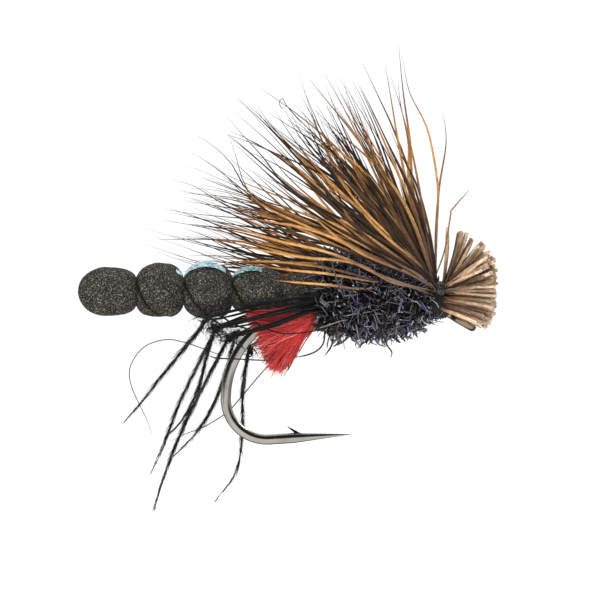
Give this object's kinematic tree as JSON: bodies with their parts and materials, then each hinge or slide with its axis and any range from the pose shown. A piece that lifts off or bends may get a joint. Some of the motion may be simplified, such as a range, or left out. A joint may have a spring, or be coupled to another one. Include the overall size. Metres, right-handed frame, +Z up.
{
  "type": "dry fly",
  "caption": "Dry fly on a barbed down-eye hook: segmented foam abdomen that flexes, red yarn tag, knotted legs, fuzzy thorax, and a flared hair wing and clipped hair head.",
  "frame": {"origin": "centre of the bore of the hook's eye", "axes": "+X along the hook shank towards the eye, +Y to the fly's left, +Z up, away from the hook's point"},
  "size_m": [0.0365, 0.0138, 0.0398],
  "materials": {
    "hook_metal": "glossy black nickel",
    "black_thread": "waxed thread",
    "black_foam": "matte closed-cell foam",
    "flash_film": "iridescent film",
    "red_yarn": "soft yarn",
    "black_barb": "feather barb",
    "thorax_dubbing": "short curled fibres",
    "brown_hair": "natural hollow hair",
    "clipped_hair": "clipped natural hair",
    "collar_thread": "varnished thread",
    "clear_cement": "clear gloss coat"
  },
  "bodies": {
    "fly": {"hook": "hook_metal", "thread_base": "black_thread", "foam_abdomen_front": "black_foam", "flash_film_front": "flash_film", "rear_binding": "black_thread", "red_tag_right": "red_yarn", "red_tag_left": "red_yarn", "leg_right_1": "black_barb", "leg_right_2": "black_barb", "leg_right_3": "black_barb", "leg_left_1": "black_barb", "leg_left_2": "black_barb", "leg_left_3": "black_barb", "thorax_core": "black_thread", "thorax_chenille": "thorax_dubbing", "hair_wing": "brown_hair", "hair_waist": "brown_hair", "hair_head": "clipped_hair", "thread_collar": "collar_thread", "thread_head": "black_thread", "head_cement": "clear_cement"},
    "abdomen": {"foam_abdomen_rear": "black_foam", "flash_film_rear": "flash_film"}
  },
  "joints": [
    {"name": "abdomen_flex", "type": "hinge", "parent": "fly", "child": "abdomen", "pos_m": [-0.0239, 0, 0.00265], "axis": [0, -1, 0], "range_deg": [-5, 25], "stiffness_Nm_per_rad": 0.0002}
  ]
}
